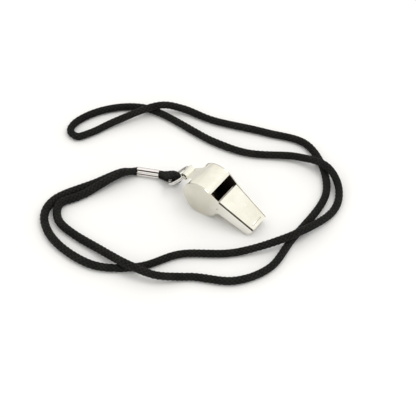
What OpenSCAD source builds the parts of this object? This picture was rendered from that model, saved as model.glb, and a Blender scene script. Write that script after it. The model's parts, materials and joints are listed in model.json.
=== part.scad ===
// Training whistle: a sheet-metal pea whistle standing on its barrel and mouthpiece tip,
// with a rolled lanyard eye, a two-coil split ring and a crimped cord lanyard lying round it.
// +X points towards the mouthpiece tip, +Z is up, and the standing surface is z = 0.

/* [Whistle body] */
// Outer diameter of the barrel that holds the pea
barrel_d = 23.2; // [22:0.1:24]
// Width of the barrel over both side plates
body_w = 19.2; // [18:0.1:21]
// Distance from the barrel's axis to the mouthpiece tip
tip_reach = 32.8; // [30:0.1:36]
// Height of the mouthpiece cover above the barrel's axis
cover_h = 10.3; // [9.8:0.1:10.6]
// Thickness of the mouthpiece at its tip
tip_thick = 6.5; // [6:0.1:7.5]
// Width of the mouthpiece at its tip
tip_w = 13.8; // [12:0.1:16]
// Thickness of the sheet metal
sheet_t = 0.7; // [0.6:0.05:0.8]
// Height of the slot that the player blows into
slot_h = 1.9; // [1.5:0.1:2.2]
// Length of the sound window between the lip and the cover
window_l = 6.6; // [5.5:0.1:7.5]

/* [Pea] */
// Diameter of the cork pea
pea_d = 10; // [9:0.1:11]

/* [Lanyard eye and split ring] */
// Length of the tongue from the barrel to the middle of the rolled eye
tongue_l = 9.8; // [9:0.1:11]
// Inner diameter of the rolled eye
eye_d = 3.6; // [3.4:0.1:4]
// Width of the rolled eye
eye_w = 7.4; // [6:0.1:8]
// Outer diameter of the split ring
ring_d = 17; // [16:0.1:18]
// Diameter of the split ring's wire
wire_d = 0.9; // [0.8:0.05:1]
// Angle at which the split ring hangs below the horizontal
ring_drop = 45; // [40:1:50]

/* [Lanyard] */
// Diameter of the braided cord
cord_d = 4; // [3.6:0.1:4]
// Diameter of the cord where it is pulled tight round the ring
tight_d = 3.4; // [3:0.1:3.5]
// Width of the crimped ferrule
ferrule_w = 4.6; // [4.4:0.1:4.8]
// Height of the crimped ferrule
ferrule_h = 5.5; // [5.3:0.1:5.6]
// Wall of the crimped ferrule
ferrule_t = 0.4; // [0.3:0.05:0.5]

/* [Hidden] */

$fn = 96;
steel = [0.86, 0.86, 0.84];
cork = [0.45, 0.27, 0.15];
black = [0.06, 0.06, 0.06];
far = 60; // larger than any part of the whistle

// Whistle body, in its own frame: origin on the barrel's axis, mouthpiece along +X
barrel_r = barrel_d / 2;
tip_bottom = cover_h - tip_thick;
underside_slope = 0.1;
notch_r = 2.5; // concave bend between the barrel and the mouthpiece's underside
lip_x = 1.9;
lip_z = sqrt(barrel_r * barrel_r - lip_x * lip_x);
window_x = lip_x + window_l;
bend_x = 3; // the side plates run parallel up to here, then towards the tip
floor_top = cover_h - sheet_t - slot_h;
floor_bottom = floor_top - sheet_t;
wall_foot_z = 0.6;
groove_w = 0.4; // crease along each edge of the cover
ridge_r = 0.6; // bite ridge across the cover
ridge_w = 7.4;
ridge_back = 2.3;
ridge_proud = 0.25;
dimple_x = 10.4; // spot-weld dimple on each side plate
dimple_z = 4.6;
dimple_r = 1.4;
dimple_depth = 0.3;

// Standing pose: the barrel and the tip's lower edge both touch z = 0
tilt = asin(barrel_r / norm([tip_reach, tip_bottom])) + atan2(tip_bottom, tip_reach);
function lean(p) = [p[0] * cos(tilt) + p[1] * sin(tilt), barrel_r - p[0] * sin(tilt) + p[1] * cos(tilt)];

// Tongue and rolled eye
root_a = 154; // polar angle on the barrel where the tongue leaves
tongue_a = 237; // direction of the tongue
shoulder_r = 4;
tongue_w = 9.4;
root_lap = 0.4;
slit_w = 0.4;
seam_gap = 0.1;
eye_r = eye_d / 2 + sheet_t;
root_at = (barrel_r - sheet_t / 2) * [cos(root_a), sin(root_a)];
eye_at = root_at + tongue_l * [cos(tongue_a), sin(tongue_a)];

// Split ring: two coils of wire pressed together, threaded through the eye
coil_pitch = 0.95 * wire_d;
ring_r = (ring_d - wire_d) / 2;
ring_out = ring_d / 2;
ring_in = ring_out - wire_d;
ring_pull = 0.2; // how far the cord pulls the ring back in the eye
seat_r = (ring_out + sqrt(ring_in * ring_in - eye_w * eye_w / 4)) / 2 + ring_pull;
ring_x = lean(eye_at)[0] - seat_r * cos(ring_drop);
ring_z = lean(eye_at)[1] - seat_r * sin(ring_drop);

// The frame's origin is under the middle of the whistle and its ring
front_x = lean([tip_reach, cover_h])[0];
rear_x = ring_x - ring_r * cos(ring_drop) - coil_pitch / 2 * sin(ring_drop) - wire_d / 2;
origin_x = (front_x + rear_x) / 2;

// Pea, lying at the bottom of the barrel near the left side plate
pea_gap = 0.15;
pea_y = -3.5;
pea_orbit = barrel_r - sheet_t - pea_d / 2 - pea_gap;

// Ferrule: its two mouths
loop_mouth = [-50, -7, 2.8];
eye_mouth = [-38, -2, 3.4];
ferrule_l = norm(eye_mouth - loop_mouth);
ferrule_dir = (eye_mouth - loop_mouth) / ferrule_l;
bore_w = ferrule_w - 2 * ferrule_t;
bore_h = ferrule_h - 2 * ferrule_t;
strand_gap = 0.1;
strand_h = (bore_h - strand_gap) / 2; // two strands are crimped one above the other
strand_up = (strand_h + strand_gap) / 2 * cross(level_side(ferrule_dir), ferrule_dir);
crimp_reach = 10; // the cord is back to its full thickness this far from the ferrule

// Route of the lanyard's long loop, from the ferrule and back to it
loop_route = [
    [-56, -11, 2], [-64, -28, 2], [-75, -52, 2], [-72, -64, 2], [-57, -74, 2], [-28, -75, 2],
    [-7, -61, 2], [6, -41, 2], [28, -24, 2], [51, 5, 6.7], [57, 37, 2], [50, 51, 3.6],
    [38, 57, 7], [19, 56, 3.6], [-8, 42, 2], [-28, 38, 2], [-78, 36, 2], [-97, 20, 2],
    [-104, 2, 2], [-102, -5, 2], [-96, -6, 2], [-92, 0, 2], [-85, 16, 3.2], [-69, 40, 6.8],
    [-59, 48, 3.4], [-38, 52, 2], [-8, 62, 2], [18, 68, 2], [46, 45, 2], [50, 2, 2],
    [51, -20, 2], [41, -38, 2], [20, -50, 2], [5, -62, 5], [-9, -66, 7], [-28, -65, 3.6],
    [-63, -62, 2], [-70, -52, 2], [-65, -41, 2], [-55, -17, 6]];
loop_points = concat([loop_mouth - strand_up], loop_route, [loop_mouth + strand_up]);
loop_step = 16; // longest distance between two rings of the loop's tube

// Route of the short eye of cord round the ring: distance from the ferrule, and height
eye_route = [[4, 1.9], [8.4, 1.8], [11.4, 3.1], [12.6, 5.8], [11.4, 8.2], [9, 8.7], [6.6, 7.2], [3.4, 5.6]];
eye_step = 1.5;
ring_rear = [ring_x - origin_x - ring_r * cos(ring_drop), 0];
eye_heading = unit(ring_rear - [eye_mouth[0], eye_mouth[1]]);
eye_sideways = [eye_heading[1], -eye_heading[0], 0];
eye_points = concat([eye_mouth - strand_up], [for (p = eye_route)
    [eye_mouth[0] + p[0] * eye_heading[0], eye_mouth[1] + p[0] * eye_heading[1], p[1]]],
    [eye_mouth + strand_up]);

// ---- smooth routes and tubes ----

function unit(v) = v / norm(v);
function knot(a, b) = sqrt(norm(b - a));
// Slope at b of a centripetal spline through a, b and c
function slope(a, b, c) =
    let (u = knot(a, b), v = knot(b, c)) (b - a) / u - (c - a) / (u + v) + (c - b) / v;
function hermite(p, q, m, n, t) =
    (2 * t ^ 3 - 3 * t ^ 2 + 1) * p + (t ^ 3 - 2 * t ^ 2 + t) * m
    + (3 * t ^ 2 - 2 * t ^ 3) * q + (t ^ 3 - t ^ 2) * n;
// Points along a smooth curve through p, no more than about step apart
function smooth(p, step) =
    let (last = len(p) - 1,
         e = concat([2 * p[0] - p[1]], p, [2 * p[last] - p[last - 1]]))
    concat([for (i = [1:last])
        let (n = ceil(norm(e[i + 1] - e[i]) / step), k = knot(e[i], e[i + 1]),
             m0 = k * slope(e[i - 1], e[i], e[i + 1]), m1 = k * slope(e[i], e[i + 1], e[i + 2]))
        for (j = [0:n - 1]) hermite(e[i], e[i + 1], m0, m1, j / n)], [p[last]]);

function level_side(t) = unit([t[1], -t[0], 0]);
// Thickness of the cord relative to its full one, d away from the ferrule's mouth
function crimp(d, full) =
    let (u = min(1, d / crimp_reach)) strand_h / full + (1 - strand_h / full) * u * u * (3 - 2 * u);

// Tube of diameter d along points c; its sections spread along side, or level where side is undef
module tube(c, d, start_dir, end_dir, mouth, sides, side) {
    last = len(c) - 1;
    t = [for (i = [0:last]) i == 0 ? start_dir : i == last ? end_dir : unit(c[i + 1] - c[i - 1])];
    points = [for (i = [0:last])
        let (s = is_undef(side) ? level_side(t[i]) : unit(side - (side * t[i]) * t[i]),
             up = cross(s, t[i]),
             flat = crimp(norm(c[i] - mouth), d),
             lying = [c[i][0], c[i][1], max(c[i][2], d / 2 * flat)])
        for (j = [0:sides - 1])
            let (a = 360 * j / sides) lying + d / 2 * (cos(a) * s + flat * sin(a) * up)];
    walls = [for (i = [0:last - 1]) for (j = [0:sides - 1])
        let (k = (j + 1) % sides)
        each [[i * sides + j, (i + 1) * sides + j, (i + 1) * sides + k],
              [i * sides + j, (i + 1) * sides + k, i * sides + k]]];
    first_cap = [for (j = [0:sides - 1]) j];
    last_cap = [for (j = [sides - 1:-1:0]) last * sides + j];
    polyhedron(points, concat(walls, [first_cap, last_cap]));
}

// ---- sections of the whistle body ----

module standing() translate([-origin_x, 0, barrel_r]) rotate([0, tilt, 0]) children();
module across(w) rotate([90, 0, 0]) linear_extrude(w, center = true) children();
module upward() translate([0, 0, -far / 2]) linear_extrude(far) children();

function half_w(x) =
    (body_w - (x > bend_x ? (x - bend_x) / (tip_reach - bend_x) * (body_w - tip_w) : 0)) / 2;
// Height of the mouthpiece's underside, raised square to itself by inset
function underside(x, inset) =
    tip_bottom - underside_slope * (tip_reach - x) + inset * norm([1, underside_slope]);

// Centre of the circle that rounds the corner under the mouthpiece, touching barrel and underside
notch_span = barrel_r + notch_r;
notch_low = underside(0, -notch_r);
notch_k = 1 + underside_slope * underside_slope;
notch_x = (sqrt(notch_k * notch_span * notch_span - notch_low * notch_low)
    - underside_slope * notch_low) / notch_k;
notch_at = [notch_x, notch_low + underside_slope * notch_x];

// Side view of the body, moved in by inset
module body_profile(inset) {
    circle(barrel_r - inset);
    polygon([[0, underside(0, inset)], [tip_reach - inset, underside(tip_reach - inset, inset)],
             [tip_reach - inset, cover_h - inset], [window_x, cover_h - inset], [lip_x, lip_z - inset]]);
    notch(inset);
}

// Filling of the corner under the mouthpiece
module notch(inset) {
    on_barrel = unit(notch_at) * (barrel_r - inset);
    on_underside = notch_at + (notch_r + inset) * unit([-underside_slope, 1]);
    difference() {
        polygon([[0, underside(0, inset) + sheet_t], on_barrel, notch_at, on_underside]);
        translate(notch_at) circle(notch_r + inset);
    }
}

// Top view of the body, with each side moved in by inset
module body_plan(inset) {
    tip = tip_reach + sheet_t;
    polygon([[-far / 2, inset - half_w(0)], [bend_x, inset - half_w(0)], [tip, inset - half_w(tip)],
             [tip, half_w(tip) - inset], [bend_x, half_w(0) - inset], [-far / 2, half_w(0) - inset]]);
}

module between_plates(inset = sheet_t) intersection() {
    across(body_w) children();
    upward() body_plan(inset);
}

module sector(from, to) {
    steps = 8;
    polygon(concat([[0, 0]], [for (i = [0:steps])
        let (a = from + (to - from) * i / steps) barrel_d * [cos(a), sin(a)]]));
}

// ---- pieces of the whistle ----

module tongue_outline() {
    full_w = body_w - 2 * sheet_t;
    difference() {
        translate([-root_lap, -full_w / 2]) square([root_lap + shoulder_r, full_w]);
        for (s = [-1, 1]) translate([shoulder_r, s * (tongue_w / 2 + shoulder_r)]) circle(shoulder_r);
    }
    polygon([[shoulder_r, -tongue_w / 2], [tongue_l, -eye_w / 2], [tongue_l, eye_w / 2],
             [shoulder_r, tongue_w / 2]]);
}

// Tongue before its eye is cut out, with thickness t
module tongue(t) translate([root_at[0], 0, root_at[1]]) rotate([0, -tongue_a, 0])
    translate([0, 0, -t / 2]) linear_extrude(t) tongue_outline();

module top_band() color(steel) standing() {
    between_plates() difference() {
        intersection() {
            circle(barrel_r);
            sector(atan2(lip_z, lip_x), root_a);
        }
        circle(barrel_r - sheet_t);
    }
    difference() {
        union() {
            tongue(sheet_t);
            across(eye_w) translate(eye_at) circle(eye_r);
        }
        across(far) translate(eye_at) {
            circle(eye_d / 2);
            rotate(tongue_a + 60) translate([0, -slit_w / 2]) square([eye_r + 1, slit_w]);
        }
    }
}

// The bottom band's upper edge is bevelled to lie under the tongue
module bottom_band() color(steel) standing() difference() {
    between_plates() difference() {
        body_profile(0);
        body_profile(sheet_t);
        sector(45, root_a + seam_gap / barrel_r * 180 / PI);
        translate([0, floor_bottom]) square(far);
    }
    tongue(sheet_t + 2 * seam_gap);
}

module side_plate(side) color(steel) standing() difference() {
    intersection() {
        across(body_w) body_profile(0);
        upward() difference() {
            body_plan(0);
            body_plan(sheet_t);
        }
        translate([-far / 2, side > 0 ? 0 : -far, -far / 2]) cube([2 * far, far, far]);
    }
    translate([dimple_x, side * (half_w(dimple_x) + dimple_r - dimple_depth), dimple_z])
        sphere(dimple_r, $fn = 32);
}

module left_side_plate() side_plate(-1);
module right_side_plate() side_plate(1);

module mouthpiece_cover() color(steel) standing() {
    cover_l = tip_reach - window_x;
    between_plates() translate([window_x, cover_h - sheet_t]) square([cover_l, sheet_t / 2]);
    between_plates(sheet_t + groove_w) translate([window_x, cover_h - sheet_t]) square([cover_l, sheet_t]);
    translate([0, 0, ridge_proud]) across(ridge_w) translate([tip_reach - ridge_back, cover_h - ridge_r])
        circle(ridge_r, $fn = 32);
}

module windway_plate() color(steel) standing() between_plates() difference() {
    union() {
        translate([0, floor_bottom]) square([tip_reach, sheet_t]);
        intersection() {
            circle(barrel_r);
            translate([0, wall_foot_z]) square([far, floor_bottom - wall_foot_z]);
        }
    }
    circle(barrel_r - sheet_t);
    translate(notch_at) circle(notch_r + sheet_t + seam_gap);
}

module pea() color(cork) translate([-origin_x, pea_y, barrel_r - pea_orbit]) sphere(pea_d / 2);

module split_ring() color(steel) translate([ring_x - origin_x, 0, ring_z]) rotate([0, -ring_drop, 0])
    rotate_extrude() for (s = [-1, 1]) translate([ring_r, s * coil_pitch / 2]) circle(wire_d / 2, $fn = 24);

// ---- lanyard ----

// Upright oval of width w and height h
module oval(w, h) {
    for (s = [-1, 1]) translate([0, s * (h - w) / 2]) circle(w / 2);
    square([w, h - w], center = true);
}

module along_ferrule() translate(loop_mouth)
    rotate([0, -asin(ferrule_dir[2]), atan2(ferrule_dir[1], ferrule_dir[0])])
        rotate([90, 0, 90]) linear_extrude(ferrule_l) children();

module ferrule() color(steel) along_ferrule() difference() {
    oval(ferrule_w, ferrule_h);
    oval(bore_w, bore_h);
}

module cord_in_ferrule() color(black) along_ferrule() oval(bore_w, bore_h);

module cord_eye() color(black)
    tube(smooth(eye_points, eye_step), tight_d, ferrule_dir, -ferrule_dir, eye_mouth, 8, eye_sideways);

module cord_loop() color(black)
    tube(smooth(loop_points, loop_step), cord_d, -ferrule_dir, ferrule_dir, loop_mouth, 10);

top_band();
bottom_band();
left_side_plate();
right_side_plate();
mouthpiece_cover();
windway_plate();
pea();
split_ring();
ferrule();
cord_in_ferrule();
cord_eye();
cord_loop();
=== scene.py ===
import json
import math

import bmesh
import bpy
import numpy as np
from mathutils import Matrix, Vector, noise


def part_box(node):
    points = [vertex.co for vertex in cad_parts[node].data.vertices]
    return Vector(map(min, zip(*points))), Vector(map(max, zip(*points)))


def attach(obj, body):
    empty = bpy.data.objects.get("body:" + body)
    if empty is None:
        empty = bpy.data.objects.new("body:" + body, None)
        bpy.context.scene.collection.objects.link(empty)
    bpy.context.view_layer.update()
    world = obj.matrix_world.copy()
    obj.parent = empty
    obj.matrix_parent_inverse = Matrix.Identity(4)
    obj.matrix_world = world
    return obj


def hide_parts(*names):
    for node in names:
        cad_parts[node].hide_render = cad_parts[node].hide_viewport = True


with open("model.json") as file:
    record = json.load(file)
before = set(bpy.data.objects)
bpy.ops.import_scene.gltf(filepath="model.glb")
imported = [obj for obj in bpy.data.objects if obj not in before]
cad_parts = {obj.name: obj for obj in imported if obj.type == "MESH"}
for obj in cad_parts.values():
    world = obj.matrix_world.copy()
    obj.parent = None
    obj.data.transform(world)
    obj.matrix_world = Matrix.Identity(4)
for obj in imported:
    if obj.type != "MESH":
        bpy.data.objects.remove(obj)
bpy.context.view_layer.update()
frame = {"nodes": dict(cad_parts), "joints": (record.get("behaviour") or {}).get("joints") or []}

# ---- dimensions shared with part.scad ----

CORD_D = 0.004
TIGHT_D = 0.0034  # the cord where it is pulled tight round the ring
FERRULE_W = 0.0046
FERRULE_H = 0.0055
FERRULE_T = 0.0004
STRAND_GAP = 0.0001
CRIMP_REACH = 0.010  # the cord is back to its full thickness this far from the ferrule
WIRE_D = 0.00086
COIL_PITCH = 0.000855
SHEET_T = 0.0007
WINDOW_END = 0.0085  # where the cover starts, forward of the barrel's axis
COVER_TOP = 0.0103  # height of the cover over that axis
LEAN = math.radians(27.18)  # the mouthpiece points this far below the horizontal
BEND_AT = 0.003  # the side plates draw together from here forward
TAPER = 0.0906

LOOP_MOUTH = np.array([-0.050, -0.007, 0.0028])
EYE_MOUTH = np.array([-0.038, -0.002, 0.0034])
LOOP_ROUTE = np.array([
    [-0.056, -0.011, 0.002], [-0.064, -0.028, 0.002], [-0.075, -0.052, 0.002], [-0.072, -0.064, 0.002],
    [-0.057, -0.074, 0.002], [-0.028, -0.075, 0.002], [-0.007, -0.061, 0.002], [0.006, -0.041, 0.002],
    [0.028, -0.024, 0.002], [0.051, 0.005, 0.0067], [0.057, 0.037, 0.002], [0.050, 0.051, 0.0036],
    [0.038, 0.057, 0.007], [0.019, 0.056, 0.0036], [-0.008, 0.042, 0.002], [-0.028, 0.038, 0.002],
    [-0.078, 0.036, 0.002], [-0.097, 0.020, 0.002], [-0.104, 0.002, 0.002], [-0.102, -0.005, 0.002],
    [-0.096, -0.006, 0.002], [-0.092, 0.000, 0.002], [-0.085, 0.016, 0.0032], [-0.069, 0.040, 0.0068],
    [-0.059, 0.048, 0.0034], [-0.038, 0.052, 0.002], [-0.008, 0.062, 0.002], [0.018, 0.068, 0.002],
    [0.046, 0.045, 0.002], [0.050, 0.002, 0.002], [0.051, -0.020, 0.002], [0.041, -0.038, 0.002],
    [0.020, -0.050, 0.002], [0.005, -0.062, 0.005], [-0.009, -0.066, 0.007], [-0.028, -0.065, 0.0036],
    [-0.063, -0.062, 0.002], [-0.0705, -0.0524, 0.002], [-0.0655, -0.0414, 0.002], [-0.055, -0.017, 0.006]])
# The eye of cord round the ring: distance from the ferrule, and height
EYE_ROUTE = [[0.004, 0.0019], [0.0084, 0.0018], [0.0114, 0.0031], [0.0126, 0.0054],
             [0.0114, 0.0074], [0.009, 0.0076], [0.0062, 0.0065], [0.0034, 0.0053]]
EYE_SPREAD_AT = 0.0080  # the upper strand is squashed flat over the ring, this far from the ferrule
EYE_SPREAD_REACH = 0.0042
EYE_SPREAD = 0.90  # there it is this much broader than round
EYE_DRIFT = 0.0009  # and it has slipped this far along the ring


# ---- vectors and smooth routes ----

def unit(v):
    return v / np.linalg.norm(v)


def level_side(t):
    return unit(np.array([t[1], -t[0], 0.0]))


def smooth(points, step):
    """Points along the centripetal spline through points, no more than about step apart."""
    p = np.asarray(points, float)
    e = np.vstack([2 * p[0] - p[1], p, 2 * p[-1] - p[-2]])

    def slope(a, b, c):
        u, v = (math.sqrt(np.linalg.norm(d)) for d in (b - a, c - b))
        return (b - a) / u - (c - a) / (u + v) + (c - b) / v

    out = []
    for i in range(1, len(p)):
        gap = np.linalg.norm(e[i + 1] - e[i])
        m0 = math.sqrt(gap) * slope(e[i - 1], e[i], e[i + 1])
        m1 = math.sqrt(gap) * slope(e[i], e[i + 1], e[i + 2])
        steps = math.ceil(gap / step)
        for t in np.arange(steps) / steps:
            out.append((2 * t**3 - 3 * t**2 + 1) * e[i] + (t**3 - 2 * t**2 + t) * m0
                       + (3 * t**2 - 2 * t**3) * e[i + 1] + (t**3 - t**2) * m1)
    return np.vstack([out, p[-1]])


def respaced(points, step):
    """The same route with its points an equal distance apart, and their distances along it."""
    along = np.concatenate([[0], np.cumsum(np.linalg.norm(np.diff(points, axis=0), axis=1))])
    at = np.linspace(0, along[-1], round(along[-1] / step) + 1)
    return np.stack([np.interp(at, along, points[:, k]) for k in range(3)], axis=1), at


def wavering(at, size, seed):
    """A slow, smooth and repeatable wandering between about -1 and 1 along a length."""
    return np.array([noise.noise(Vector((x / size, seed, 0.5))) for x in at])


ferrule_dir = unit(EYE_MOUTH - LOOP_MOUTH)
ferrule_length = np.linalg.norm(EYE_MOUTH - LOOP_MOUTH)
ferrule_side = level_side(ferrule_dir)
ferrule_up = np.cross(ferrule_side, ferrule_dir)
bore_w = FERRULE_W - 2 * FERRULE_T
bore_h = FERRULE_H - 2 * FERRULE_T
strand_h = (bore_h - STRAND_GAP) / 2
strand_up = (strand_h + STRAND_GAP) / 2 * ferrule_up


# ---- meshes ----

def new_piece(name, vertices, faces, material, body, slot, *replaced):
    """A smooth-shaded piece of the object, riding on body and standing for the CAD nodes replaced."""
    mesh = bpy.data.meshes.new(name)
    mesh.from_pydata([tuple(v) for v in vertices], [], faces)
    mesh.validate()
    mesh.shade_smooth()
    mesh.materials.append(material)
    piece = bpy.data.objects.new(name, mesh)
    bpy.context.scene.collection.objects.link(piece)
    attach(piece, body)
    if replaced:
        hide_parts(*replaced)
    return piece


def tube_faces(rings, sides, capped=True):
    """Faces of a tube of closed rings, numbered ring by ring."""
    faces = []
    for start in range(0, (rings - 1) * sides, sides):
        for j in range(sides):
            k = (j + 1) % sides
            faces.append((start + j, start + k, start + sides + k, start + sides + j))
    if capped:
        faces.append(tuple(range(sides))[::-1])
        faces.append(tuple((rings - 1) * sides + j for j in range(sides)))
    return faces


# ---- node materials ----

class Look:
    """A node material under construction: each method adds one node and returns its output."""

    def __init__(self, name, **constants):
        self.material = bpy.data.materials.new(name)
        self.material.use_nodes = True
        self.tree = self.material.node_tree
        self.shader = self.tree.nodes["Principled BSDF"]
        for label, value in constants.items():
            self.shader.inputs[label.replace("_", " ")].default_value = value

    def node(self, kind, feeds, output=0, **settings):
        made = self.tree.nodes.new("ShaderNode" + kind)
        for key, value in settings.items():
            setattr(made, key, value)
        for key, value in feeds.items():
            self.feed(made.inputs[key], value)
        return made.outputs[output]

    def feed(self, socket, value):
        if isinstance(value, bpy.types.NodeSocket):
            self.tree.links.new(value, socket)
        else:
            socket.default_value = value

    def set(self, label, value):
        self.feed(self.shader.inputs[label], value)

    def place(self):
        return self.node("TexCoord", {}, "Object")

    def math(self, operation, a, b=0.0, c=0.0):
        return self.node("Math", {0: a, 1: b, 2: c}, operation=operation)

    def noise(self, scale, detail=3.0, stretch=(1, 1, 1), roughness=0.55):
        where = self.node("Mapping", {"Vector": self.place(), "Scale": stretch})
        return self.node("TexNoise", {"Vector": where, "Scale": scale, "Detail": detail,
                                      "Roughness": roughness})

    def span(self, value, low, high, to_low=0.0, to_high=1.0):
        return self.node("MapRange", {"Value": value, "From Min": low, "From Max": high,
                                      "To Min": to_low, "To Max": to_high})

    def mix(self, share, a, b):
        made = self.tree.nodes.new("ShaderNodeMix")
        made.data_type = "RGBA"
        for key, value in ((0, share), (6, a), (7, b)):
            self.feed(made.inputs[key], value)
        return made.outputs[2]

    def bump(self, height, distance, strength=1.0, under=None):
        feeds = {"Height": height, "Distance": distance, "Strength": strength}
        if under is not None:
            feeds["Normal"] = under
        return self.node("Bump", feeds)


def rgb(r, g, b):
    return (r, g, b, 1.0)


# painted light for the side plates by the mouthpiece
PAINTED_MOUTH_LIGHT = (0.90, 0.885, 0.83)
# painted shade for the whistle's inner walls
PAINTED_INSIDE_SHADE = (0.12, 0.10, 0.085)
# painted shade for seams and folds
PAINTED_SEAM_SHADE = (0.05, 0.038, 0.032)


def plated_look(name, bright, tarnish, gloss, inside_shade=None, seam_shade=None, wear_and_painted_light=None):
    """Plated metal: brushing marks, handling scratches and a faint haze. The last three arguments each add
    nodes
    to the look and return a share: of painted shade on the inner walls, which are also made rougher, of
    painted shade along a seam, which is also made rougher, and of painted light that brightens the metal."""
    look = Look(name, Metallic=1.0)
    haze = look.noise(260, 4)
    smudge = look.noise(90, 2)
    marks = look.noise(900, 2, stretch=(1, 7, 1))
    scratch = look.span(look.noise(420, 5, stretch=(5, 0.6, 2)), 0.66, 0.72)
    colour = look.mix(look.span(smudge, 0.42, 0.72), rgb(*bright), rgb(*tarnish))
    rough = look.math("ADD", look.span(haze, 0.3, 0.75, gloss, gloss + 0.09),
                      look.math("MULTIPLY", scratch, 0.12))
    # painted light: the metal is brightened where the share is high
    if wear_and_painted_light:
        colour = look.mix(wear_and_painted_light(look), colour, rgb(*PAINTED_MOUTH_LIGHT))
    # painted shade on the inner walls, which are also rougher
    if inside_shade:
        wall = inside_shade(look)
        colour = look.mix(wall, colour, rgb(*PAINTED_INSIDE_SHADE))
        rough = look.math("MAXIMUM", rough, look.math("MULTIPLY", wall, 0.55))
    # painted shade along a seam, which is also rougher
    if seam_shade:
        seam = seam_shade(look)
        colour = look.mix(seam, colour, rgb(*PAINTED_SEAM_SHADE))
        rough = look.math("MAXIMUM", rough, look.math("MULTIPLY", seam, 0.4))
    look.set("Base Color", colour)
    look.set("Roughness", rough)
    dents = look.bump(look.noise(120, 1), 0.00006)
    brushed = look.bump(marks, 0.000004, under=dents)
    look.set("Normal", look.bump(scratch, 0.000006, under=brushed))
    return look.material


def whistle_place(look):
    """Distances from the barrel's axis: forward along the mouthpiece, sideways, and square to the cover."""
    spot = look.node("VectorMath", {0: look.place(), 1: tuple(barrel_axis)}, operation="SUBTRACT")
    turned = look.node("VectorRotate", {"Vector": spot, "Angle": -LEAN}, rotation_type="Y_AXIS")
    return look.node("SeparateXYZ", {0: turned}).node.outputs


# Share of painted shade: 1 on the barrel's inner side.
def inside_barrel(look):
    forward, _, up = whistle_place(look)
    away = look.math("SQRT", look.math("ADD", look.math("MULTIPLY", forward, forward),
                                       look.math("MULTIPLY", up, up)))
    return look.math("LESS_THAN", away, barrel_axis[2] - SHEET_T / 2)


def beside_cover(look):
    """1 on the upper rim of the side plates, along the cover."""
    forward, _, up = whistle_place(look)
    return look.math("MULTIPLY", look.math("GREATER_THAN", forward, WINDOW_END),
                     look.math("GREATER_THAN", up, COVER_TOP - SHEET_T / 2))


# Share of painted shade: 1 on the side plates' inner faces, but not on their rim along the cover.
def inside_plates(look):
    forward, side, _ = whistle_place(look)
    past_bend = look.math("MAXIMUM", look.math("SUBTRACT", forward, BEND_AT), 0.0)
    narrowing = look.math("MULTIPLY", past_bend, TAPER)
    half = look.math("SUBTRACT", plate_high.y - 0.97 * SHEET_T, narrowing)
    inner = look.math("LESS_THAN", look.math("ABSOLUTE", side), half)
    return look.math("MULTIPLY", inner, look.math("SUBTRACT", 1.0, beside_cover(look)))


def near_seam_shade(look):
    """1 on the left plate's rim along the cover: painted shade of the seam there, on this one side only."""
    forward, side, up = whistle_place(look)
    rim = look.math("MULTIPLY", look.math("GREATER_THAN", forward, WINDOW_END),
                    look.math("GREATER_THAN", up, COVER_TOP - 0.0001))
    return look.math("MULTIPLY", rim, look.math("LESS_THAN", side, 0.0))


def towards_mouth(look):
    """Rises from 0 on the barrel to 1 on the mouthpiece: the share of painted light on the side plates."""
    forward, _, _ = whistle_place(look)
    return look.span(forward, 0.004, 0.019)


def ferrule_fold_shade(look):
    """1 in the ferrule's open seam and in the groove of its waist: painted shade there, which also paints the
    dark lines that the polished tube reflects.
    """
    spot = look.node("VectorMath", {0: look.place(), 1: tuple(LOOP_MOUTH)}, operation="SUBTRACT")
    high = look.node("VectorMath", {0: spot, 1: tuple(ferrule_up)}, output=1, operation="DOT_PRODUCT")
    aside = look.node("VectorMath", {0: spot, 1: tuple(ferrule_side)}, output=1, operation="DOT_PRODUCT")
    seam = oval_point(SEAM_ANGLE, FERRULE_W, FERRULE_H)
    run = look.math("SUBTRACT", aside, seam[0])
    rise = look.math("SUBTRACT", high, seam[1])
    squares = look.math("ADD", look.math("MULTIPLY", run, run), look.math("MULTIPLY", rise, rise))
    away = look.math("SQRT", squares)
    waist = look.span(look.math("ABSOLUTE", high), 0.0002, 0.0005, 1.0, 0.0)
    return look.math("MAXIMUM", waist, look.span(away, 0.0003, 0.0005, 1.0, 0.0))


def cork_look():
    look = Look("ground_cork", Specular_IOR_Level=0.25)
    grain = look.noise(520, 6)
    patches = look.noise(190, 3, stretch=(1, 1, 1.8))
    cells = look.node("TexVoronoi", {"Vector": look.place(), "Scale": 1400.0}, "Distance")
    pits = look.span(look.noise(640, 2), 0.56, 0.66)
    tone = look.mix(look.span(patches, 0.35, 0.65), rgb(0.55, 0.29, 0.15), rgb(0.33, 0.16, 0.08))
    tone = look.mix(look.span(grain, 0.45, 0.75), tone, rgb(0.66, 0.41, 0.24))
    look.set("Base Color", look.mix(pits, tone, rgb(0.09, 0.04, 0.02)))
    look.set("Roughness", look.span(grain, 0.2, 0.8, 0.7, 0.95))
    rough_skin = look.bump(cells, 0.00005)
    look.set("Normal", look.bump(pits, -0.00012, under=rough_skin))
    return look.material


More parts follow.
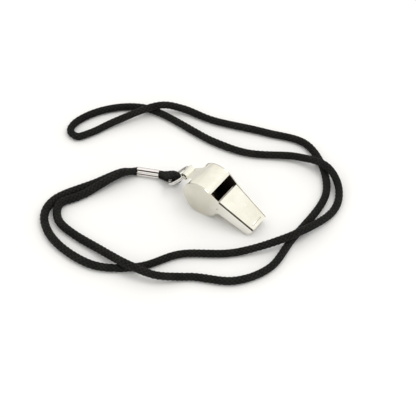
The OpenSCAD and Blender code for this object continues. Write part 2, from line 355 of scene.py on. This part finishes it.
def braid_look():
    """Black braided cord. The braid UVs count strands each way, so that the yarns follow their strands."""
    look = Look("braided_cord", Specular_IOR_Level=0.12, Sheen_Weight=0.03, Sheen_Roughness=0.45)
    strands = look.node("UVMap", {}, uv_map="braid")
    split = look.node("SeparateXYZ", {0: strands}).node
    a, b = split.outputs["X"], split.outputs["Y"]
    crossing = look.math("ADD", look.math("FLOOR", a), look.math("FLOOR", b))
    on_top = look.math("FLOORED_MODULO", crossing, 2.0)
    across_a = look.math("MULTIPLY", look.math("FRACT", b), on_top)
    across_b = look.math("MULTIPLY", look.math("FRACT", a), look.math("SUBTRACT", 1.0, on_top))
    across = look.math("ADD", across_a, across_b)
    yarn = look.math("PINGPONG", look.math("MULTIPLY", across, YARNS * 2.0), 1.0)
    fuzz = look.noise(2600, 3)
    wear_and_painted_light = look.noise(160, 2)
    flecks = look.span(look.noise(1500, 2), 0.62, 0.74)
    # Painted shade between the strands: crest falls to 0 at each strand's edges, where the colour is painted
    # near black.
    crest = look.math("PINGPONG", across, 0.5)
    black = look.mix(look.span(yarn, 0.0, 1.0), rgb(0.004, 0.004, 0.003), rgb(0.018, 0.0175, 0.0145))
    black = look.mix(look.math("MULTIPLY", look.span(wear_and_painted_light, 0.4, 0.7), 0.5), black, rgb(0.030, 0.029, 0.025))
    black = look.mix(look.math("MULTIPLY", flecks, 0.5), black, rgb(0.060, 0.057, 0.050))
    look.set("Base Color", look.mix(look.span(crest, 0.05, 0.4), rgb(0.001, 0.001, 0.001), black))
    look.set("Roughness", look.span(fuzz, 0.3, 0.7, 0.55, 0.8))
    fibres = look.bump(fuzz, 0.00004)
    look.set("Normal", look.bump(yarn, 0.00006, under=fibres))
    return look.material


def floor_look():
    look = Look("pale_floor", Specular_IOR_Level=0.2)
    mottle = look.noise(6, 3)
    look.set("Base Color", look.mix(mottle, rgb(0.90, 0.90, 0.895), rgb(0.93, 0.93, 0.925)))
    look.set("Roughness", look.span(mottle, 0.2, 0.8, 0.75, 0.85))
    return look.material


# ---- camera, at the photograph's angle ----

CAMERA_AZIMUTH = math.radians(36)
CAMERA_ELEVATION = math.radians(50)
CAMERA_DISTANCE = 0.76
CAMERA_AIM = Vector((0.0004, -0.00725, 0.0048))
CAMERA_LENS = 117.07


def camera_back():
    """Direction from the object to the camera."""
    return Vector((math.sin(CAMERA_AZIMUTH) * math.cos(CAMERA_ELEVATION),
                   -math.cos(CAMERA_AZIMUTH) * math.cos(CAMERA_ELEVATION),
                   math.sin(CAMERA_ELEVATION)))


def make_camera():
    back = camera_back()
    data = bpy.data.cameras.new("camera")
    data.sensor_fit = "HORIZONTAL"
    data.sensor_width = 36
    data.lens = CAMERA_LENS
    data.clip_start, data.clip_end = 0.01, 20
    camera = bpy.data.objects.new("camera", data)
    camera.location = CAMERA_AIM + back * CAMERA_DISTANCE
    camera.rotation_euler = (-back).to_track_quat("-Z", "Y").to_euler()
    bpy.context.scene.collection.objects.link(camera)
    bpy.context.scene.camera = camera


# ---- braided cords ----

STRANDS = 6  # strands that wind each way
CROSSING = 0.0026  # length of cord from one crossing to the next
SAMPLES = 6  # steps of the mesh in one crossing
RELIEF = 0.0006  # depth of the gaps between strands
YARNS = 5  # yarns lying side by side in a strand
LOOSENED = 0.12  # most that the braid has swollen, in the first part of the loop
SLACK_FROM, SLACK_TO = 0.03, 0.135  # the swelling is full from here, and is over by there
SLACK_FADE = 0.04
LUMPS = 0.045  # how far the cord's thickness wanders
LUMP_LENGTH = 0.011
TWIST_LENGTH = 0.03


def braid_height(a, b):
    """Height of a plain braid, 0 in its gaps and 1 on its crests. a and b count the strands each way."""
    i, j = np.floor(a), np.floor(b)
    fa, fb = a - i, b - j
    sign = 1 - 2 * np.mod(i + j, 2)
    one_way = np.sqrt(fa * (1 - fa)) + sign * 0.5 * np.sin(np.pi * fb)
    other_way = np.sqrt(fb * (1 - fb)) - sign * 0.5 * np.sin(np.pi * fa)
    return np.maximum(one_way, other_way)


def slack(distance):
    """Between 0 and 1: how far handling has loosened the braid, at a distance from the ferrule's mouth."""
    rise = np.clip(distance / SLACK_FROM, 0, 1)
    fall = np.clip((SLACK_TO - distance) / SLACK_FADE, 0, 1)
    return (rise * fall) ** 2 * (3 - 2 * rise) * (3 - 2 * fall)


def squeezed(distance, full):
    """Height and width of the cord beside its full thickness, at a distance from the ferrule's mouth."""
    u = np.clip(distance / CRIMP_REACH, 0, 1)
    ease = u * u * (3 - 2 * u)
    wide = min(1.0, bore_w * 0.98 / full)
    w = np.clip(distance / (0.4 * CRIMP_REACH), 0, 1)
    return strand_h / full + (1 - strand_h / full) * ease, wide + (1 - wide) * w * w * (3 - 2 * w)


def make_braid(name, route, full, side=None, seed=0.0, squash=None):
    """Braided cord of diameter full along route. Both its ends are halfway along the ferrule, side is level
    where it isn't given, and the cord lies on the floor or above it. squash gives how squashed the
    cord is for distances from the route's end: the broadening beyond round, and the drift sideways."""
    centres, at = respaced(route, CROSSING / SAMPLES)
    tangents = np.gradient(centres, axis=0)
    tangents /= np.linalg.norm(tangents, axis=1)[:, None]
    if side is None:
        across = np.stack([tangents[:, 1], -tangents[:, 0], 0 * at], axis=1)
    else:
        across = side - (tangents @ side)[:, None] * tangents
    across /= np.linalg.norm(across, axis=1)[:, None]
    up = np.cross(across, tangents)
    outside = np.maximum(np.minimum(at, at[-1] - at) - ferrule_length / 2, 0)
    flat, wide = squeezed(outside, full)
    loosened = LOOSENED * slack(outside)
    if squash:
        loosened = 0 * at  # the eye is pulled tight
        broadening, drift = squash(at[-1] - at)
        flat, wide = flat / (1 + broadening), wide * (1 + broadening)
        centres += drift[:, None] * across
    centres[:, 2] = np.maximum(centres[:, 2], (full * (1 + loosened) + RELIEF) / 2 * flat)
    sides = STRANDS * SAMPLES
    around = np.arange(sides) / sides
    length_share = at / (STRANDS * CROSSING)
    a = STRANDS * (around[None, :] + length_share[:, None])
    b = STRANDS * (around[None, :] - length_share[:, None])
    loose = np.clip(outside / (0.5 * CRIMP_REACH), 0.1, 1)[:, None]
    swell = 1 + LUMPS * wavering(at, LUMP_LENGTH, seed + 3)[:, None] + loosened[:, None]
    radius = full / 2 * swell + RELIEF * full / CORD_D * loose * (braid_height(a, b) - 0.55)
    angle = 2 * np.pi * around[None, :] + 0.5 * wavering(at, TWIST_LENGTH, seed)[:, None]
    points = (centres[:, None, :] + (radius * np.cos(angle) * wide[:, None])[..., None] * across[:, None, :]
              + (radius * np.sin(angle) * flat[:, None])[..., None] * up[:, None, :])
    faces = tube_faces(len(at), sides)
    piece = new_piece(name, points.reshape(-1, 3), faces, cord_material, "whistle", "cord")
    mesh = piece.data
    corners = np.zeros(len(mesh.loops), int)
    mesh.loops.foreach_get("vertex_index", corners)
    ring, place = corners // sides, corners % sides
    wraps = (np.arange(len(corners)) // 4 % sides == sides - 1) & (place == 0)
    wraps[(len(at) - 1) * sides * 4:] = False
    turn = place / sides + wraps
    shift = STRANDS * math.ceil(length_share[-1] / 2) * 2
    one_way = STRANDS * (turn + length_share[ring])
    other_way = STRANDS * (turn - length_share[ring]) + shift
    uv = np.stack([one_way, other_way], axis=1)
    mesh.uv_layers.new(name="braid").data.foreach_set("uv", uv.astype(np.float32).ravel())
    return piece, centres


def into_ferrule(mouth, inward, lift):
    """Middle line of a strand inside the ferrule, from halfway along it out to the mouth."""
    depths = np.linspace(ferrule_length / 2, 0, 8)[:-1]
    return np.array([mouth + inward * d + lift for d in depths])


def make_lanyard_loop():
    points = np.vstack([LOOP_MOUTH - strand_up, LOOP_ROUTE, LOOP_MOUTH + strand_up])
    route = smooth(points, CROSSING / SAMPLES)
    start = into_ferrule(LOOP_MOUTH, ferrule_dir, -strand_up)
    end = into_ferrule(LOOP_MOUTH, ferrule_dir, strand_up)[::-1]
    piece, path = make_braid("lanyard_loop", np.vstack([start, route, end]), CORD_D)
    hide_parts("cord_loop", "cord_in_ferrule")
    return piece, path


def make_lanyard_eye(ring_rear):
    heading = unit(ring_rear[:2] - EYE_MOUTH[:2])
    side = np.array([heading[1], -heading[0], 0])
    bend = [[EYE_MOUTH[0] + d * heading[0], EYE_MOUTH[1] + d * heading[1], z] for d, z in EYE_ROUTE]
    route = smooth(np.vstack([EYE_MOUTH - strand_up, bend, EYE_MOUTH + strand_up]), CROSSING / SAMPLES)
    start = into_ferrule(EYE_MOUTH, -ferrule_dir, -strand_up)
    end = into_ferrule(EYE_MOUTH, -ferrule_dir, strand_up)[::-1]
    spread_at = ferrule_length / 2 + EYE_SPREAD_AT

    def squash(distance):
        peak = np.exp(-((distance - spread_at) / EYE_SPREAD_REACH) ** 2)
        return EYE_SPREAD * peak, EYE_DRIFT * peak

    piece, _ = make_braid("lanyard_eye", np.vstack([start, route, end]), TIGHT_D, side,
                          seed=7.3, squash=squash)
    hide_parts("cord_eye")
    return piece


# ---- ferrule ----

SEAM_ANGLE = math.radians(63)  # where the rolled sheet's edges meet, above the level of its side
SEAM_GAP = 0.0004
WAIST_DEPTH = 0.0005  # groove on each side, between the two strands
WAIST_W = 0.0005
RIM_R = 0.00014
RIM_STEPS = 5
FERRULE_SIDES = 72
FERRULE_STEPS = 40


def oval_point(angle, w, h):
    """Point of an upright oval of width w and height h, in the direction angle from its middle."""
    c, s = math.cos(angle), math.sin(angle)
    half, rise = w / 2, (h - w) / 2
    if abs(s) * half <= abs(c) * rise:
        return half / abs(c) * np.array([c, s])
    lift = math.copysign(rise, s)
    reach = s * lift + math.sqrt(half * half - (c * lift) ** 2)
    return reach * np.array([c, s])


def ferrule_section(along, inset):
    """Closed outline of the rolled sheet: round the outside from the seam, and back on the inside."""
    gap = SEAM_GAP / FERRULE_H
    angles = np.linspace(SEAM_ANGLE + gap, SEAM_ANGLE + 2 * math.pi - gap, FERRULE_SIDES)
    outer, inner = [], []
    for angle in angles:
        p = oval_point(angle, FERRULE_W, FERRULE_H)
        waist = WAIST_DEPTH * math.exp(-(p[1] / WAIST_W) ** 2)
        ripple = noise.noise(Vector((along * 400, angle * 1.5, 3.0))) * 0.00004
        squeeze = waist + 0.00004 + ripple
        out = unit(p)
        outer.append(p - out * (inset + squeeze))
        inner.append(p - out * (FERRULE_T + squeeze - inset))
    return np.array(outer + inner[::-1])


def make_ferrule():
    quarter = np.linspace(0, 1, RIM_STEPS) * math.pi / 2
    rim_along, rim_inset = RIM_R * (1 - np.cos(quarter)), RIM_R * (1 - np.sin(quarter))
    middle = np.linspace(RIM_R, ferrule_length - RIM_R, FERRULE_STEPS)[1:-1]
    along = np.concatenate([rim_along, middle, ferrule_length - rim_along[::-1]])
    inset = np.concatenate([rim_inset, 0 * middle, rim_inset[::-1]])
    points = []
    for d, i in zip(along, inset):
        section = ferrule_section(d, i)
        across = section[:, :1] * ferrule_side + section[:, 1:] * ferrule_up
        points.append(LOOP_MOUTH + d * ferrule_dir + across)
    sides = 2 * FERRULE_SIDES
    faces = tube_faces(len(along), sides, capped=False)
    last = (len(along) - 1) * sides
    for k in range(FERRULE_SIDES - 1):
        near = (k, k + 1, sides - 2 - k, sides - 1 - k)
        faces.append(near[::-1])
        faces.append(tuple(last + n for n in near))
    return new_piece("crimped_ferrule", np.vstack(points), faces, crimp_material,
                     "whistle", "crimp", "ferrule")


# ---- split ring ----

RING_TURNS = 1.9  # each end stops short of the step between the coils
RING_STEP = math.radians(34)  # of a turn, over which the wire changes coil
RING_START = math.radians(-70)
RING_SAMPLES = 220
RING_SIDES = 20
WIRE_END = 0.0004  # the wire's ends are rounded off over this length
WIRE_END_SHARE = 0.72  # to this share of its thickness


def make_split_ring(centre, axis, outer_r):
    """Two coils of wire pressed together, wound as one helix with a step where it changes coil."""
    middle_r = outer_r - WIRE_D / 2 - 0.00002
    first = unit(np.cross(axis, [0, 1, 0]))
    second = np.cross(axis, first)
    total = RING_TURNS * 2 * math.pi
    turns = np.linspace(0, total, RING_SAMPLES)
    step = np.clip((turns - (2 * math.pi - RING_STEP)) / RING_STEP, 0, 1)
    lift = COIL_PITCH * (step * step * (3 - 2 * step) - 0.5)
    angles = turns + RING_START
    out = np.cos(angles)[:, None] * first + np.sin(angles)[:, None] * second
    centres = np.asarray(centre) + middle_r * out + lift[:, None] * axis
    end = np.minimum(turns, total - turns) * middle_r
    thick = WIRE_D / 2 * np.clip(WIRE_END_SHARE + end / WIRE_END * (1 - WIRE_END_SHARE), 0, 1)
    roll = 2 * np.pi * np.arange(RING_SIDES) / RING_SIDES
    points = (centres[:, None, :] + (thick[:, None] * np.cos(roll))[..., None] * out[:, None, :]
              + (thick[:, None] * np.sin(roll))[..., None] * np.asarray(axis))
    faces = tube_faces(len(turns), RING_SIDES)
    return new_piece("split_ring_wire", points.reshape(-1, 3), faces, ring_material,
                     "ring", "ring_wire", "split_ring")


# ---- pea ----

LUMP_DEPTH = 0.00012
PIT_DEPTH = 0.0009
GRAIN_DEPTH = 0.00003
DEEPEST = 0.0005
PORE_SHARE = 0.28  # noise above this is a cut pore


def make_pea(centre, radius):
    """A ground cork ball: slightly out of round, with pits where its pores are cut open."""
    ball = bmesh.new()
    bmesh.ops.create_icosphere(ball, subdivisions=6, radius=1.0)
    for vertex in ball.verts:
        out = vertex.co.normalized()
        lumps = noise.noise(out * 2.3 + Vector((5, 1, 2)))
        pores = noise.noise(out * 7.5)
        grain = noise.fractal(out * 14, 1.0, 2.2, 4)
        pit = max(0.0, pores - PORE_SHARE)
        sunk = LUMP_DEPTH * (1 + lumps) + PIT_DEPTH * pit + GRAIN_DEPTH * (1 + grain)
        vertex.co = out * (radius - min(sunk, DEEPEST))
    vertices = [np.array(v.co) + centre for v in ball.verts]
    faces = [tuple(v.index for v in f.verts) for f in ball.faces]
    ball.free()
    return new_piece("cork_pea", vertices, faces, cork_material, "pea", "cork", "pea")


# ---- whistle body ----

def soften_edges(node, width, segments=2):
    """Rounds a CAD node's sheared edges and smooths its curved faces."""
    piece = frame["nodes"][node]
    weld = piece.modifiers.new("weld", "WELD")
    weld.merge_threshold = 0.000002
    bevel = piece.modifiers.new("soft_edges", "BEVEL")
    bevel.width = width
    bevel.segments = segments
    bevel.limit_method = "ANGLE"
    bevel.angle_limit = math.radians(35)
    bevel.use_clamp_overlap = True
    piece.modifiers.new("even_shading", "WEIGHTED_NORMAL").keep_sharp = True


def dress(node, material):
    piece = frame["nodes"][node]
    piece.data.materials.clear()
    piece.data.materials.append(material)


# ---- stage ----

WORLD_STOPS = [(0.0, 0.80), (0.06, 0.80), (0.22, 0.82), (0.5, 1.05), (1.0, 1.16)]  # brightness by height
DARK_REACH = math.radians(20)  # size of the dark patch
DARK_LEVEL = 0.12
WORLD_TINT = (1.0, 0.99, 0.965)
FLOOR_SIZE = 8.0


def make_world():
    """Soft surroundings for the metal to reflect: bright overhead, greyer along the horizon, and with a dark
    patch where the photographer stood."""
    world = bpy.data.worlds.new("soft_studio")
    world.use_nodes = True
    bpy.context.scene.world = world
    tree = world.node_tree
    place = tree.nodes.new("ShaderNodeTexCoord")
    split = tree.nodes.new("ShaderNodeSeparateXYZ")
    ramp = tree.nodes.new("ShaderNodeValToRGB")
    tree.links.new(place.outputs["Generated"], split.inputs[0])
    tree.links.new(split.outputs["Z"], ramp.inputs[0])
    stops = ramp.color_ramp.elements
    while len(stops) < len(WORLD_STOPS):
        stops.new(0.5)
    for stop, (height, level) in zip(stops, WORLD_STOPS):
        stop.position = height
        stop.color = rgb(*(level * tint for tint in WORLD_TINT))
    facing = tree.nodes.new("ShaderNodeVectorMath")
    facing.operation = "DOT_PRODUCT"
    tree.links.new(place.outputs["Generated"], facing.inputs[0])
    facing.inputs[1].default_value = camera_back()
    shade = tree.nodes.new("ShaderNodeMapRange")
    shade.inputs["From Min"].default_value = math.cos(DARK_REACH)
    shade.inputs["From Max"].default_value = math.cos(DARK_REACH / 2)
    shade.inputs["To Min"].default_value = 1.0
    shade.inputs["To Max"].default_value = DARK_LEVEL
    tree.links.new(facing.outputs["Value"], shade.inputs["Value"])
    tree.links.new(shade.outputs[0], tree.nodes["Background"].inputs["Strength"])
    tree.links.new(ramp.outputs[0], tree.nodes["Background"].inputs["Color"])


def make_light(name, place, size, power, aim=(0, 0, 0)):
    data = bpy.data.lights.new(name, "AREA")
    data.shape = "DISK"
    data.size = size
    data.energy = power
    data.color = (1.0, 0.985, 0.96)
    light = bpy.data.objects.new(name, data)
    light.location = place
    light.rotation_euler = (Vector(aim) - Vector(place)).to_track_quat("-Z", "Y").to_euler()
    bpy.context.scene.collection.objects.link(light)


def make_floor():
    mesh = bpy.data.meshes.new("floor")
    half = FLOOR_SIZE / 2
    corners = [(-half, -half, 0), (half, -half, 0), (half, half, 0), (-half, half, 0)]
    mesh.from_pydata(corners, [], [(0, 1, 2, 3)])
    mesh.materials.append(floor_look())
    floor = bpy.data.objects.new("floor", mesh)
    bpy.context.scene.collection.objects.link(floor)


# ---- the object ----

joints = {joint["name"]: joint for joint in frame["joints"]}
barrel_axis = np.array(joints["pea_orbit"]["pos_m"])
ring_centre = np.array(joints["ring_turn"]["pos_m"])
ring_axis = unit(np.array(joints["ring_turn"]["axis"]))
ring_low, ring_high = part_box("split_ring")
ring_r = (ring_high.y - ring_low.y) / 2
pea_low, pea_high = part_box("pea")
plate_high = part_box("right_side_plate")[1]

make_camera()
cord_material = braid_look()
loop, loop_path = make_lanyard_loop()
ring_rear = ring_centre - unit(np.cross(ring_axis, [0, -1, 0])) * (ring_r - WIRE_D / 2)
eye = make_lanyard_eye(ring_rear)

EDGE_WIDTH = 0.00005  # of the bevel on the sheets' sheared edges
CHROME = (0.86, 0.845, 0.75)
TARNISH = (0.79, 0.765, 0.66)
# The band gets painted shade on its inner side, inside the barrel.
band_material = plated_look("plated_band", CHROME, TARNISH, 0.07, inside_shade=inside_barrel)
# The side plates are a darker copy of the band's plating, which is painted shade; they also get painted shade
# on their inner faces and along the left seam, and painted light towards the mouthpiece.
plate_material = plated_look("plated_plate", (0.68, 0.66, 0.58), (0.61, 0.59, 0.52), 0.09,
                             inside_plates, near_seam_shade, towards_mouth)
cover_material = plated_look("plated_cover", CHROME, TARNISH, 0.07)
# The windway plate is a dark copy of the plating, which is painted shade inside the whistle.
inner_material = plated_look("plated_inner", (0.30, 0.28, 0.26), (0.22, 0.20, 0.18), 0.3)
ring_material = plated_look("spring_wire", (0.80, 0.79, 0.77), (0.70, 0.68, 0.65), 0.14)
# The ferrule gets painted shade in its seam and waist groove.
crimp_material = plated_look("crimp_metal", (0.87, 0.84, 0.82), (0.80, 0.76, 0.73), 0.10, seam_shade=ferrule_fold_shade)
cork_material = cork_look()

ferrule = make_ferrule()
make_split_ring(ring_centre, ring_axis, ring_r)
make_pea(np.array((pea_low + pea_high) / 2), (pea_high.x - pea_low.x) / 2)
for node, material in (("top_band", band_material), ("bottom_band", band_material),
                       ("left_side_plate", plate_material), ("right_side_plate", plate_material),
                       ("mouthpiece_cover", cover_material), ("windway_plate", inner_material)):
    dress(node, material)
    soften_edges(node, EDGE_WIDTH)

# ---- studio ----

make_floor()
make_world()
make_light("key_light", place=(0.55, 0.45, 1.65), size=0.9, power=6)
bpy.context.scene.view_settings.view_transform = "Standard"
